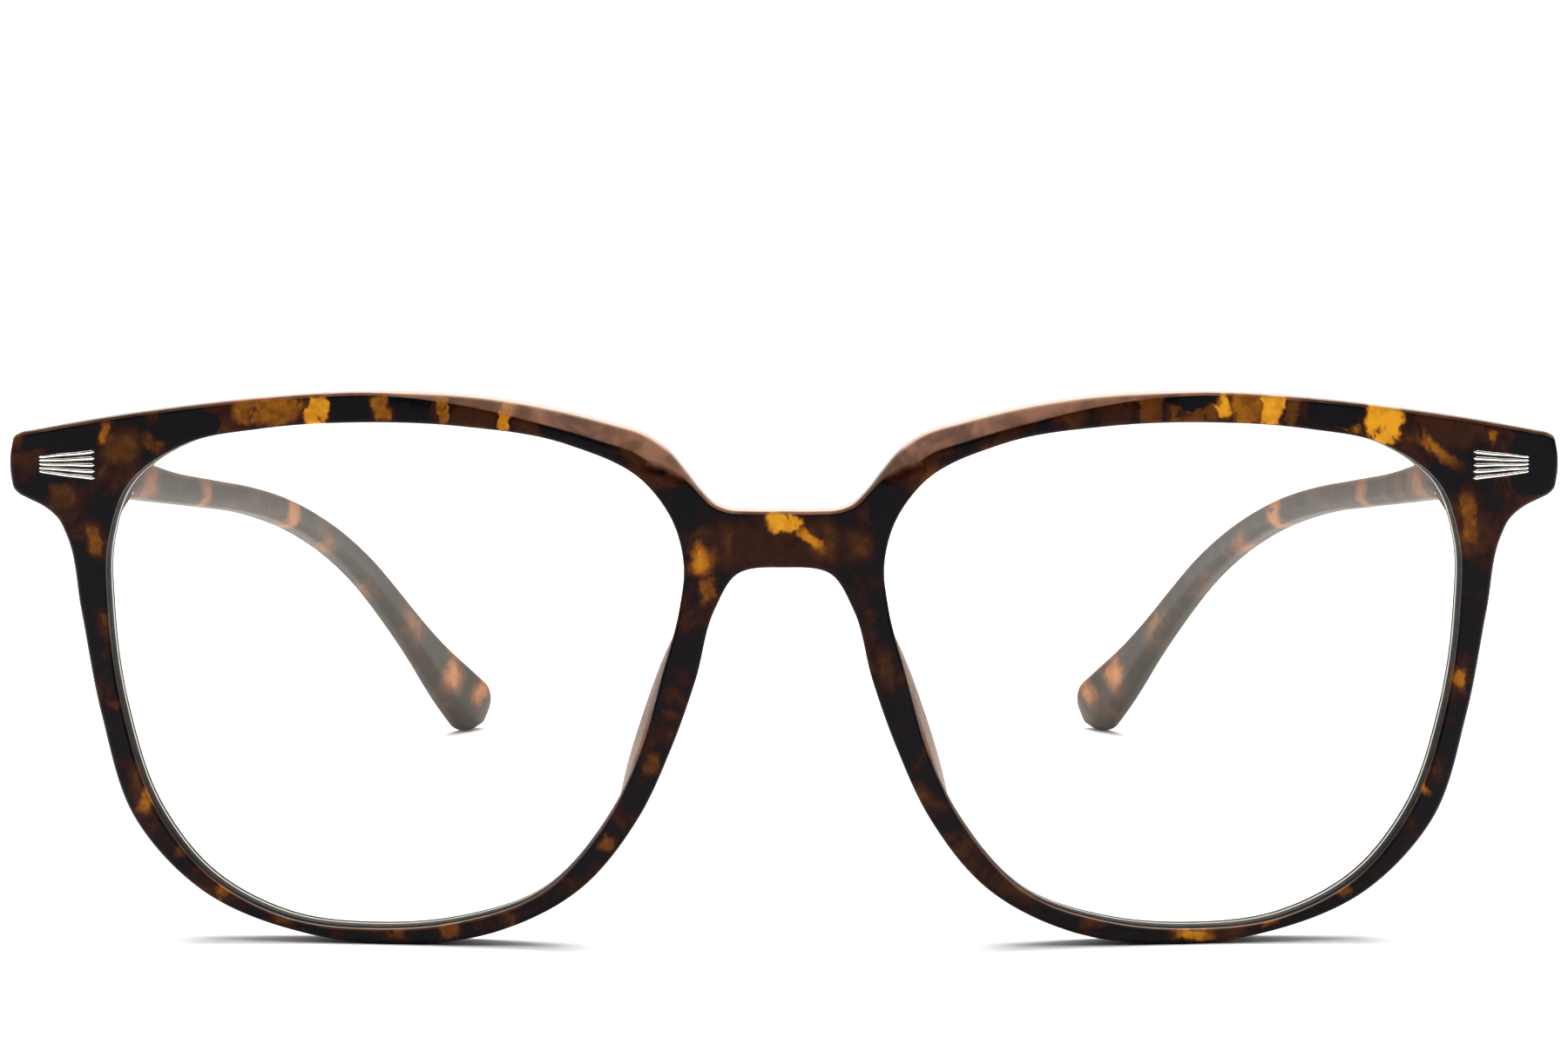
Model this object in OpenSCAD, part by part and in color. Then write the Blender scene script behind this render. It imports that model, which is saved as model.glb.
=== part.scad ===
// Round-lens plastic spectacles: a cut front with grooved rims, two lenses, glued nose pads,
// riveted five-barrel hinges, fluted end-piece plaques and wire-cored temples with drop tips.
// Axes: +X to the wearer's left, +Y from the front back to the temple tips, +Z up.
// The glasses stand on the low points of both rims and on both temple tips, at z = 0.

/* [Front] */
// Width of the front across both end pieces
front_width = 145.4; // [140:0.2:150]
// Height of the front from the low points of the rims to the brow
front_height = 51.7; // [48.5:0.2:54]
// Thickness of the sheet that the front is cut from
front_thickness = 3.6; // [3.4:0.1:4.2]
// Radius of the face-form curve of the front, seen from above
face_radius = 400; // [300:10:600]
// Distance of the flat back of each end piece behind the front of the bridge
endpiece_back = 10.4; // [10:0.1:11]

/* [Lenses] */
// Thickness of each lens
lens_thickness = 1.8; // [1.4:0.1:2]
// Distance of the lens behind the front face of the rim
lens_setback = 0.9; // [0.7:0.1:1.1]
// Depth of the groove in the rim that takes the lens bevel
groove_depth = 0.5; // [0.3:0.1:0.6]
// Width of that groove
groove_width = 0.9; // [0.6:0.1:1.2]

/* [Nose pads] */
// Height of each nose pad
pad_height = 21.4; // [19:0.2:22]
// How far each pad stands behind the rim
pad_reach = 6.3; // [5:0.1:7.5]
// Thickness of each pad
pad_thickness = 2.4; // [2:0.1:2.8]

/* [Hinges] */
// Distance of each hinge axis from the middle plane
hinge_x = 63.6; // [63.3:0.1:64.2]
// Height of the middle of the hinge above the table
hinge_z = 44; // [43.7:0.1:44.2]
// Outer radius of the hinge barrels
barrel_radius = 1.3; // [1.1:0.05:1.4]
// Height of one of the five barrels
barrel_height = 1; // [0.9:0.05:1]
// Radius of the screw's shank
screw_radius = 0.6; // [0.5:0.05:0.7]
// Radial running clearance of the temple's barrels on the screw
running_gap = 0.04; // [0.02:0.01:0.08]
// Thickness of the hinge leaves
leaf_thickness = 0.8; // [0.6:0.05:1]
// Radius of the rivets
rivet_radius = 0.5; // [0.4:0.05:0.6]

/* [Temples] */
// Inward angle of the open temples
splay = 7.5; // [6:0.1:9]
// Gap between an open temple and the end piece that it stops on
stop_gap = 0.1; // [0.05:0.01:0.3]
// Height of the core wire
wire_height = 1.4; // [1:0.1:1.6]
// Width of the core wire
wire_width = 1.1; // [0.8:0.1:1.3]

/* [Plaques] */
// Length of each fan plaque
plaque_length = 5.6; // [4.5:0.1:6]
// Width of the fan at its inner end
plaque_wide = 3.1; // [2.6:0.1:3.4]
// Width of the fan at its outer end
plaque_narrow = 1.7; // [1.4:0.1:2]
// Number of raised ridges on the fan
ridge_count = 5; // [3:1:6]

/* [Hidden] */
$fn = 96;

tortoise = [0.27, 0.14, 0.06];
satin_tortoise = [0.34, 0.22, 0.14];
clear_lens = [0.85, 0.9, 0.92, 0.35];
steel = [0.75, 0.75, 0.77];
nickel = [0.82, 0.82, 0.84];

// Half of the outer outline of the front as [x, z], from the top of the bridge over the brow
// and the end piece, round the rim and up to the underside of the bridge
front_half = [[0, 40.85], [3.2, 40.85], [5.2, 41], [6.5, 41.55], [7.6, 42.6], [9.1, 44.5],
  [10.85, 46.5], [13, 47.9], [16.55, 49], [27.4, 51.2], [38, 51.7], [50.5, 50.9], [57.5, 50.05],
  [64.8, 48.95], [70.3, 47.95], [71.6, 47.7], [72.3, 47.3], [72.55, 46.5], [72.65, 43.2],
  [72.45, 42.4], [71.9, 41.85], [71.1, 41.45], [69.35, 40.6], [68.1, 39.5], [67.4, 38.1],
  [66.1, 31.1], [64.3, 21.2], [61.1, 11.2], [54.9, 4.7], [45.1, 0.85], [36.4, 0], [26.9, 1.25],
  [19, 5.35], [13.5, 12.1], [10.4, 18.7], [8.1, 25.2], [6.35, 31.65], [4.35, 34.85], [0, 35.5]];
// Opening of one rim as [x, z], clockwise from its top
rim_opening = [[39, 48.8], [48.6, 48.15], [55.85, 46.65], [61.3, 42.8], [63.2, 37.7],
  [63.35, 30.7], [62.05, 21.2], [59.05, 12.3], [54.1, 6.1], [46.95, 2.4], [38, 1.45],
  [30.5, 2.2], [22.9, 4.85], [16.3, 12.2], [13.25, 18.7], [11.3, 25.5], [9.65, 31.7],
  [9.25, 35.5], [10.15, 39.5], [12.8, 43.3], [20, 46.85], [29.5, 48.45]];
// Stations of a temple as [distance along it, height of its middle, its height, its thickness,
// inward bend], from the hinge to the drop tip
temple_stations = [[-4, 44.5, 5.4, 5, 0], [9, 42.6, 4.2, 4.4, 0], [22, 40.6, 3.2, 3.6, 0],
  [35, 39, 3, 3.3, 0], [48, 37.4, 2.9, 3.2, 0], [61, 35.2, 3, 3.1, 0], [74, 32.2, 3.1, 3, 0],
  [86, 28.4, 3.4, 2.8, 0.3], [95.5, 24.3, 3.7, 2.7, 0.9], [102.5, 20.3, 3.9, 2.7, 1.7],
  [111.5, 14.2, 4.6, 2.7, 3.2], [120, 7.9, 6.2, 2.9, 5.2], [125.5, 3.6, 7.2, 3.1, 7.2]];

nominal_width = 145.4;
nominal_height = 51.7;
curve_steps = 3;
cap_steps = 8;
total_depth = 139.44;
front_y = -total_depth / 2;
through = 30;

// Hinge geometry, in the frame whose y = 0 is the front of the bridge
hinge_y = endpiece_back + 1.6;
inner_face = 1.6;
hinge_bottom = hinge_z - 2.5 * barrel_height;
leaf_height = 4.6;
leaf_inner_x = 62;
leaf_outer_x = 69.6;
front_rivet_x = [66.2, 68.8];
temple_rivet_s = [2.4, 5.4];
wire_start = 16;
wire_end = 118;
head_radius = 1;
head_height = 0.45;
slot_width = 0.25;
plaque_x = 67.1;
plaque_z = 44.7;
plaque_base = 0.5;
endpiece_low = 40;
endpiece_high = 49;

// ---- Curves ----
function tangent(a, b, c) =
  let (u = norm(b - a), v = norm(c - b)) ((b - a) / u * v + (c - b) / v * u) / (u + v);
function hermite(a, b, ta, tb, t) =
  let (l = norm(b - a)) (2 * t * t * t - 3 * t * t + 1) * a + (t * t * t - 2 * t * t + t) * l * ta
    + (3 * t * t - 2 * t * t * t) * b + (t * t * t - t * t) * l * tb;
// Smooth closed curve through the points p
function closed_curve(p, steps) =
  let (m = len(p)) [for (i = [0:m - 1]) for (k = [0:steps - 1])
    hermite(p[i], p[(i + 1) % m], tangent(p[(i + m - 1) % m], p[i], p[(i + 1) % m]),
      tangent(p[i], p[(i + 1) % m], p[(i + 2) % m]), k / steps)];
// Smooth open curve through the points p
function open_tangent(p, i) =
  i == 0 ? (p[1] - p[0]) / norm(p[1] - p[0])
  : i == len(p) - 1 ? (p[i] - p[i - 1]) / norm(p[i] - p[i - 1])
  : tangent(p[i - 1], p[i], p[i + 1]);
function open_curve(p, steps) =
  concat([for (i = [0:len(p) - 2]) for (k = [0:steps - 1])
    hermite(p[i], p[i + 1], open_tangent(p, i), open_tangent(p, i + 1), k / steps)],
    [p[len(p) - 1]]);
// Clockwise outline p moved outward by d
function grown(p, d) =
  let (m = len(p)) [for (i = [0:m - 1])
    let (t = p[(i + 1) % m] - p[(i + m - 1) % m], n = [-t[1], t[0]] / norm(t)) p[i] + d * n];
function scaled(p) =
  [for (q = p) [q[0] * front_width / nominal_width, q[1] * front_height / nominal_height]];
function mirrored(p) = [for (i = [len(p) - 2:-1:1]) [-p[i][0], p[i][1]]];

front_outline = closed_curve(scaled(concat(front_half, mirrored(front_half))), curve_steps);
opening_outline = closed_curve(scaled(rim_opening), curve_steps);
temple_curve = open_curve(temple_stations, curve_steps);

// ---- Placing ----
module whole() { translate([0, front_y, 0]) children(); }
module right_side() { mirror([1, 0, 0]) children(); }
// A flat outline in x and z, extruded from y = 0 to y = through
module prism(points) {
  translate([0, through, 0]) rotate([90, 0, 0]) linear_extrude(through) polygon(points);
}
// The space behind the front face, moved back by inset
module behind_face(inset) {
  translate([0, face_radius, -5]) cylinder(r = face_radius - inset, h = 65, $fn = 720);
}
// A curved sheet between two distances behind the front face
module curved_sheet(from, to) {
  difference() {
    behind_face(from);
    translate([0, face_radius, -6]) cylinder(r = face_radius - to, h = 67, $fn = 720);
  }
}
// The frame of a temple: its origin on the hinge axis, +Y along the straight part
module temple_space() {
  translate([hinge_x, hinge_y, 0]) rotate([0, 0, splay]) children();
}
// A side outline in y and z, extruded along x
module side_prism(points, x, width) {
  translate([x, 0, 0]) rotate([90, 0, 90]) linear_extrude(width) polygon(points);
}

// ---- Front ----
module endpiece_block() {
  translate([0, 0, endpiece_low]) linear_extrude(endpiece_high - endpiece_low)
    polygon([[58, 4], [58, 8.2], [61.5, endpiece_back], [75, endpiece_back], [75, 4]]);
}
module front_hinge_plate() {
  translate([leaf_inner_x, endpiece_back - leaf_thickness, hinge_z - leaf_height / 2])
    cube([leaf_outer_x - leaf_inner_x, leaf_thickness, leaf_height]);
}
module front_rivet_pins() {
  for (x = front_rivet_x)
    translate([x, 4, plaque_z]) rotate([-90, 0, 0])
      cylinder(r = rivet_radius, h = endpiece_back - 4, $fn = 24);
}
module lens_cut() {
  prism(opening_outline);
  intersection() {
    prism(grown(opening_outline, groove_depth));
    curved_sheet(front_thickness / 2 - groove_width / 2, front_thickness / 2 + groove_width / 2);
  }
}
module side_cuts() {
  lens_cut();
  front_hinge_plate();
  front_rivet_pins();
  plaque_body();
}
module front_frame() {
  color(tortoise) whole() difference() {
    intersection() {
      prism(front_outline);
      union() {
        curved_sheet(0, front_thickness);
        intersection() {
          behind_face(0);
          union() {
            endpiece_block();
            right_side() endpiece_block();
          }
        }
      }
    }
    side_cuts();
    right_side() side_cuts();
  }
}

// ---- Lenses ----
module lens() {
  color(clear_lens) whole() union() {
    intersection() {
      prism(opening_outline);
      curved_sheet(lens_setback, lens_setback + lens_thickness);
    }
    intersection() {
      prism(grown(opening_outline, groove_depth));
      curved_sheet(front_thickness / 2 - groove_width / 2, front_thickness / 2 + groove_width / 2);
    }
  }
}
module lens_left() { lens(); }
module lens_right() { right_side() lens(); }

// ---- Nose pads ----
// D-shaped blade behind the nasal rim, leaning with it and splayed outward
module nose_pad() {
  half = pad_height / 2;
  arc = [for (i = [0:12]) [pad_reach * sin(180 * i / 12), -half * cos(180 * i / 12)]];
  color(tortoise) whole() intersection() {
    translate([11.4, front_thickness - 0.6, 20.7]) rotate([0, -18.9, -13])
      side_prism(concat([[-1.5, -half]], arc, [[-1.5, half]]), -pad_thickness / 2, pad_thickness);
    behind_face(front_thickness);
  }
}
module nose_pad_left() { nose_pad(); }
module nose_pad_right() { right_side() nose_pad(); }

// ---- Plaques ----
module on_face(x) {
  translate([0, face_radius, 0]) rotate([0, 0, asin(x / face_radius)])
    translate([0, -face_radius, 0]) children();
}
module plaque_body() {
  on_face(plaque_x) translate([0, plaque_base, plaque_z]) rotate([90, 0, 0])
    linear_extrude(plaque_base)
      polygon([[-plaque_length / 2, -plaque_wide / 2], [plaque_length / 2, -plaque_narrow / 2],
        [plaque_length / 2, plaque_narrow / 2], [-plaque_length / 2, plaque_wide / 2]]);
}
module fan_ridges() {
  for (i = [0:ridge_count - 1]) {
    place = (i + 0.5) / ridge_count - 0.5;
    inner = [-plaque_length / 2, 0, place * plaque_wide];
    outer = [plaque_length / 2, 0, place * plaque_narrow];
    translate(inner) rotate([0, 90 - asin((outer[2] - inner[2]) / norm(outer - inner)), 0])
      cylinder(r1 = plaque_wide / ridge_count / 2.4, r2 = plaque_narrow / ridge_count / 2.4,
        h = norm(outer - inner), $fn = 24);
  }
}
module fan_plaque() {
  color(nickel) whole() union() {
    plaque_body();
    intersection() {
      on_face(plaque_x) translate([0, 0, plaque_z]) fan_ridges();
      on_face(plaque_x) translate([-5, -1, plaque_z - 3]) cube([10, 1.2, 6]);
    }
  }
}
module fan_plaque_left() { fan_plaque(); }
module fan_plaque_right() { right_side() fan_plaque(); }
module front_rivets() {
  color(steel) whole() difference() {
    front_rivet_pins();
    plaque_body();
    for (x = front_rivet_x)
      translate([x - 1, 3, plaque_z - 1]) cube([2, plaque_back(x) - 3, 2]);
  }
}
// Distance behind the bridge of the plaque's back face at x
function plaque_back(x) =
  let (a = asin(plaque_x / face_radius))
    face_radius - (face_radius - plaque_base - (x - plaque_x) * sin(a)) * cos(a);
module front_rivets_left() { front_rivets(); }
module front_rivets_right() { right_side() front_rivets(); }

// ---- Hinges ----
// Barrels of the hinge from the list of their places, 0 at the bottom, round the axis
module barrels(places, bore, gap) {
  for (i = places)
    translate([0, 0, hinge_bottom + i * barrel_height + gap]) difference() {
      cylinder(r = barrel_radius, h = barrel_height - 2 * gap);
      translate([0, 0, -1]) cylinder(r = bore, h = barrel_height + 2);
    }
}
module front_webs() {
  for (i = [0, 2, 4])
    difference() {
      translate([hinge_x - barrel_radius, endpiece_back, hinge_bottom + i * barrel_height])
        cube([2 * barrel_radius, hinge_y - endpiece_back, barrel_height]);
      translate([hinge_x, hinge_y, 0]) cylinder(r = screw_radius, h = 60);
    }
}
module front_hinge() {
  color(steel) whole() difference() {
    union() {
      front_hinge_plate();
      front_webs();
      translate([hinge_x, hinge_y, 0]) barrels([0, 2, 4], screw_radius, 0);
    }
    front_rivet_pins();
  }
}
module front_hinge_left() { front_hinge(); }
module front_hinge_right() { right_side() front_hinge(); }
module hinge_screw() {
  color(nickel) whole() translate([hinge_x, hinge_y, hinge_bottom]) difference() {
    union() {
      cylinder(r = screw_radius, h = 5 * barrel_height);
      translate([0, 0, 5 * barrel_height]) cylinder(r = head_radius, h = head_height);
    }
    translate([-2, -slot_width / 2, 5 * barrel_height + head_height / 2])
      cube([4, slot_width, 1]);
  }
}
module hinge_screw_left() { hinge_screw(); }
module hinge_screw_right() { right_side() hinge_screw(); }

module temple_hinge_plate() {
  side_prism([[-1.2, hinge_z - 1.5], [1.5, hinge_z - 1.5], [6.5, 41.7], [7.2, 42.4], [7.2, 43.2],
    [6.5, 43.9], [1.5, hinge_z + 1.5], [-1.2, hinge_z + 1.5]],
    inner_face, leaf_thickness);
}
module temple_webs() {
  for (i = [1, 3])
    difference() {
      translate([0, -1.2, hinge_bottom + i * barrel_height + 0.04])
        cube([inner_face + 0.2, 1.2 + barrel_radius, barrel_height - 0.08]);
      cylinder(r = screw_radius + running_gap, h = 60);
    }
}
module temple_rivet_pins() {
  for (s = temple_rivet_s)
    translate([inner_face, s, 43.4 - 0.14 * s]) rotate([0, 90, 0])
      cylinder(r = rivet_radius, h = 6, $fn = 24);
}
module temple_hinge() {
  color(steel) whole() temple_space() difference() {
    union() {
      temple_hinge_plate();
      temple_webs();
      barrels([1, 3], screw_radius + running_gap, 0.04);
    }
    temple_rivet_pins();
  }
}
module temple_hinge_left() { temple_hinge(); }
module temple_hinge_right() { right_side() temple_hinge(); }

// ---- Temples ----
// Side outline along the stations q, with a round end
function side_outline(q) =
  let (m = len(q), dir = [for (i = [0:m - 1])
      let (a = q[max(i - 1, 0)], b = q[min(i + 1, m - 1)], t = [b[0] - a[0], b[1] - a[1]])
        t / norm(t)],
    top = [for (i = [0:m - 1]) [q[i][0], q[i][1]] + q[i][2] / 2 * [-dir[i][1], dir[i][0]]],
    low = [for (i = [m - 1:-1:0]) [q[i][0], q[i][1]] - q[i][2] / 2 * [-dir[i][1], dir[i][0]]],
    last = q[m - 1], a0 = atan2(dir[m - 1][1], dir[m - 1][0]),
    cap = [for (k = [1:cap_steps - 1]) let (a = a0 + 90 - 180 * k / cap_steps)
      [last[0], last[1]] + last[2] / 2 * [cos(a), sin(a)]])
  concat(top, cap, low);
function middle_x(q) = inner_face + q[3] / 2 - q[4];
// Plan outline along the stations q, with a round end as long as the side outline's
function plan_outline(q) =
  let (m = len(q), last = q[m - 1],
    out = [for (i = [0:m - 1]) [middle_x(q[i]) + q[i][3] / 2, q[i][0]]],
    inn = [for (i = [m - 1:-1:0]) [middle_x(q[i]) - q[i][3] / 2, q[i][0]]],
    cap = [for (k = [1:cap_steps - 1]) let (a = 180 * k / cap_steps)
      [middle_x(last) + last[3] / 2 * cos(a), last[0] + last[2] / 2 * sin(a)]])
  concat(out, cap, inn);
module temple_body() {
  intersection() {
    side_prism(side_outline(temple_curve), -8, 20);
    linear_extrude(60) polygon(plan_outline(temple_curve));
  }
}
wire_curve = [for (q = temple_curve) if (q[0] > wire_start && q[0] < wire_end)
  [q[0], q[1], wire_height, wire_width, q[4] - (q[3] - wire_width) / 2]];
module wire_body() {
  intersection() {
    side_prism(side_outline(wire_curve), -8, 20);
    linear_extrude(60) polygon(plan_outline(wire_curve));
  }
}
module temple() {
  color(satin_tortoise) whole() difference() {
    temple_space() difference() {
      temple_body();
      wire_body();
      temple_hinge_plate();
      temple_rivet_pins();
    }
    translate([0, -1, 0]) cube([90, endpiece_back + stop_gap + 1, 60]);
  }
}
module temple_left() { temple(); }
module temple_right() { right_side() temple(); }
module temple_rivets() {
  color(nickel) whole() temple_space() intersection() {
    temple_rivet_pins();
    temple_body();
  }
}
module temple_rivets_left() { temple_rivets(); }
module temple_rivets_right() { right_side() temple_rivets(); }
module core_wire() { color(steel) whole() temple_space() wire_body(); }
module core_wire_left() { core_wire(); }
module core_wire_right() { right_side() core_wire(); }

front_frame();
lens_left();
lens_right();
nose_pad_left();
nose_pad_right();
fan_plaque_left();
fan_plaque_right();
front_rivets_left();
front_rivets_right();
front_hinge_left();
front_hinge_right();
hinge_screw_left();
hinge_screw_right();
temple_hinge_left();
temple_hinge_right();
temple_left();
temple_right();
temple_rivets_left();
temple_rivets_right();
core_wire_left();
core_wire_right();
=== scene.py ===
import math

import bmesh
import bpy
import numpy as np
from mathutils import Matrix, Vector
from mathutils.geometry import delaunay_2d_cdt
from mathutils.kdtree import KDTree


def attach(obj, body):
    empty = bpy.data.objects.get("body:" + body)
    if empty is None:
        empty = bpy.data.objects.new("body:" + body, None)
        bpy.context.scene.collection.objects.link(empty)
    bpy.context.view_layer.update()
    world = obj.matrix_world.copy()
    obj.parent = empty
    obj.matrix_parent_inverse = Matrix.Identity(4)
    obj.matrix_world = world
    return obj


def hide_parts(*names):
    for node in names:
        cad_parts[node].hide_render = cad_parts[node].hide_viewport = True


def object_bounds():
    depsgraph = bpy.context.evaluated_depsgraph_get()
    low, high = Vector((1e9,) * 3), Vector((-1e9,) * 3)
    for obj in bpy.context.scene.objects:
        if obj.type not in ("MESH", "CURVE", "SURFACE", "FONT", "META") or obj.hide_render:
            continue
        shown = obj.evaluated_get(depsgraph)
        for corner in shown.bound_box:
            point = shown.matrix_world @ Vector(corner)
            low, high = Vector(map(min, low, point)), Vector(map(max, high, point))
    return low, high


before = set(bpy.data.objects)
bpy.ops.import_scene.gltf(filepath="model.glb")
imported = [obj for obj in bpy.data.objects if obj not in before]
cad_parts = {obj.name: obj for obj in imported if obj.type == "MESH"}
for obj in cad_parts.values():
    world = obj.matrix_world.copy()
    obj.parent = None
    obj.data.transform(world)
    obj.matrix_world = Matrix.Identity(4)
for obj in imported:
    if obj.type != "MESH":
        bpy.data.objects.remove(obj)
cad_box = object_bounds()

# Shapes are worked out in millimetres, with y measured back from the front of the bridge.
MM = 0.001
FRONT_Y = cad_box[0][1] / MM
FACE_RADIUS = 400.0
FRONT_THICKNESS = 3.6
ENDPIECE_BACK = 10.33
LENS_SETBACK = 0.9
LENS_THICKNESS = 1.8
LENS_BACK = LENS_SETBACK + LENS_THICKNESS
GROOVE_MIDDLE = 1.8
HINGE = Vector((63.6, 12.0))
SPLAY = math.radians(7.5)
INNER_FACE = 1.6

# Half of the front's outline as (x, z), from the top of the bridge over the brow and the end
# piece, round the rim and up to the underside of the bridge.
FRONT_HALF = [
    (0, 40.85), (3.2, 40.85), (5.2, 41), (6.5, 41.55), (7.6, 42.6), (9.1, 44.5), (10.85, 46.5),
    (13, 47.9), (16.55, 49), (27.4, 51.2), (38, 51.7), (50.5, 50.9), (57.5, 50.05),
    (64.8, 48.95), (70.3, 47.95), (71.6, 47.7), (72.3, 47.3), (72.55, 46.5), (72.65, 43.2),
    (72.45, 42.4), (71.9, 41.85), (71.1, 41.45), (69.35, 40.6), (68.1, 39.5), (67.4, 38.1),
    (66.1, 31.1), (64.3, 21.2), (61.1, 11.2), (54.9, 4.7), (45.1, 0.85), (36.4, 0), (26.9, 1.25),
    (19, 5.35), (13.5, 12.1), (10.4, 18.7), (8.1, 25.2), (6.35, 31.65), (4.35, 34.85), (0, 35.5),
]
# Opening of one rim as (x, z), clockwise from its top.
RIM_OPENING = [
    (39, 48.8), (48.6, 48.15), (55.85, 46.65), (61.3, 42.8), (63.2, 37.7), (63.35, 30.7),
    (62.05, 21.2), (59.05, 12.3), (54.1, 6.1), (46.95, 2.4), (38, 1.45), (30.5, 2.2),
    (22.9, 4.85), (16.3, 12.2), (13.25, 18.7), (11.3, 25.5), (9.65, 31.7), (9.25, 35.5),
    (10.15, 39.5), (12.8, 43.3), (20, 46.85), (29.5, 48.45),
]
# Stations of a temple: distance along it, height of its middle, its height, its thickness
# and its inward bend, from the hinge to the drop tip.
TEMPLE_STATIONS = [
    (-4, 44.5, 5.4, 5, 0), (9, 42.6, 4.2, 4.4, 0), (22, 40.6, 3.2, 3.6, 0), (35, 39, 3, 3.3, 0),
    (48, 37.4, 2.9, 3.2, 0), (61, 35.2, 3, 3.1, 0), (74, 32.2, 3.1, 3, 0),
    (86, 28.4, 3.4, 2.8, 0.3), (95.5, 24.3, 3.7, 2.7, 0.9), (102.5, 20.3, 3.9, 2.7, 1.7),
    (111.5, 14.2, 4.6, 2.7, 3.2), (120, 7.9, 6.2, 2.9, 5.2), (125.5, 3.6, 7.2, 3.1, 7.2),
]


# ---- Curves ----
LEAST_STEPS = 4


def tangent(a, b, c):
    before, after = np.linalg.norm(b - a), np.linalg.norm(c - b)
    return ((b - a) / before * after + (c - b) / after * before) / (before + after)


def smooth_curve(points, closed, spacing):
    """Points along the smooth curve through the given ones, about spacing apart"""
    p = [np.array(q, float) for q in points]
    n = len(p)
    if closed:
        slopes = [tangent(p[i - 1], p[i], p[(i + 1) % n]) for i in range(n)]
    else:
        ends = [(p[1] - p[0]) / np.linalg.norm(p[1] - p[0])]
        ends.append((p[-1] - p[-2]) / np.linalg.norm(p[-1] - p[-2]))
        slopes = [ends[0]] + [tangent(*p[i - 1:i + 2]) for i in range(1, n - 1)] + [ends[1]]
    made = []
    for i in range(n if closed else n - 1):
        a, b, ta, tb = p[i], p[(i + 1) % n], slopes[i], slopes[(i + 1) % n]
        reach = np.linalg.norm(b - a)
        steps = max(LEAST_STEPS, round(reach / spacing))
        for t in np.arange(steps) / steps:
            made.append(
                (2 * t**3 - 3 * t**2 + 1) * a + (t**3 - 2 * t**2 + t) * reach * ta
                + (3 * t**2 - 2 * t**3) * b + (t**3 - t**2) * reach * tb
            )
    if not closed:
        made.append(p[-1])
    return np.array(made)


def outward(outline):
    """Unit normals that point out of a clockwise outline"""
    along = np.roll(outline, -1, 0) - np.roll(outline, 1, 0)
    normals = np.stack([-along[:, 1], along[:, 0]], 1)
    return normals / np.linalg.norm(normals, axis=1)[:, None]


def inside(points, outline):
    """Which of the points lie inside an outline"""
    x, z = points[:, 0][:, None], points[:, 1][:, None]
    a, b = outline, np.roll(outline, -1, 0)
    spans = (a[:, 1] > z) != (b[:, 1] > z)
    rise = np.where(b[:, 1] == a[:, 1], 1e-9, b[:, 1] - a[:, 1])
    crossing = a[:, 0] + (z - a[:, 1]) * (b[:, 0] - a[:, 0]) / rise
    return (spans & (x < crossing)).sum(1) % 2 == 1


def mirrored(points):
    return np.array(points) * (-1, 1)


def sag(x):
    """How far the curved front face lies behind the bridge at x"""
    return FACE_RADIUS - np.sqrt(FACE_RADIUS**2 - x**2)


def fillet(depth, radius):
    """Drop of a rounded edge at a distance in from that edge"""
    left = np.clip(radius - depth, 0, radius)
    return radius - np.sqrt(radius**2 - left**2)


def smoothstep(low, high, value):
    t = np.clip((value - low) / (high - low), 0, 1)
    return t * t * (3 - 2 * t)


# ---- Meshes ----
# Rows of a triangular grid lie this share of the spacing apart.
ROW_RATIO = 0.866


def add_piece(name, points, faces, body, materials, choice=None, crease=34):
    """A smooth-shaded mesh from points in millimetres, riding on a body"""
    places = (np.array(points) + (0, FRONT_Y, 0)) * MM
    mesh = bpy.data.meshes.new(name)
    mesh.from_pydata(places.tolist(), [], faces)
    for material in materials:
        mesh.materials.append(material)
    if choice is not None:
        mesh.polygons.foreach_set("material_index", choice)
    work = bmesh.new()
    work.from_mesh(mesh)
    bmesh.ops.recalc_face_normals(work, faces=work.faces)
    work.to_mesh(mesh)
    work.free()
    mesh.polygons.foreach_set("use_smooth", [True] * len(mesh.polygons))
    mesh.set_sharp_from_angle(angle=math.radians(crease))
    made = bpy.data.objects.new(name, mesh)
    bpy.context.scene.collection.objects.link(made)
    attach(made, body)
    return made


def triangulated(loops, others):
    """Triangles of the region inside the first loop and outside the rest, over all points"""
    points = np.concatenate([*loops, others])
    edges, start = [], 0
    for loop in loops:
        count = len(loop)
        edges += [(start + i, start + (i + 1) % count) for i in range(count)]
        start += count
    result = delaunay_2d_cdt([Vector(p) for p in points], edges, [], 0, 1e-7)
    source = np.array([origin[0] for origin in result[3]])
    triangles = source[np.array(result[2])]
    middles = points[triangles].mean(1)
    keep = inside(middles, loops[0])
    for loop in loops[1:]:
        keep &= ~inside(middles, loop)
    return points, triangles[keep]


def plate(loops, others, front, back, walls):
    """A solid between two height functions; walls holds, for each loop, the (y, growth)
    steps of its side between the front edge and the back edge"""
    flat, triangles = triangulated(loops, others)
    count = len(flat)
    points = [np.stack([flat[:, 0], height(flat), flat[:, 1]], 1) for height in (front, back)]
    faces = [tuple(t) for t in triangles] + [tuple(t[::-1] + count) for t in triangles]
    total, start = 2 * count, 0
    for loop, steps in zip(loops, walls):
        size = len(loop)
        normals = outward(loop)
        rows = [np.arange(size) + start]
        for y, growth in steps:
            ring = loop + normals * growth
            points.append(np.stack([ring[:, 0], sag(ring[:, 0]) + y, ring[:, 1]], 1))
            rows.append(np.arange(size) + total)
            total += size
        rows.append(np.arange(size) + start + count)
        for a, b in zip(rows, rows[1:]):
            faces += strip(a, b)
        start += size
    return np.concatenate(points), faces


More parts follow.
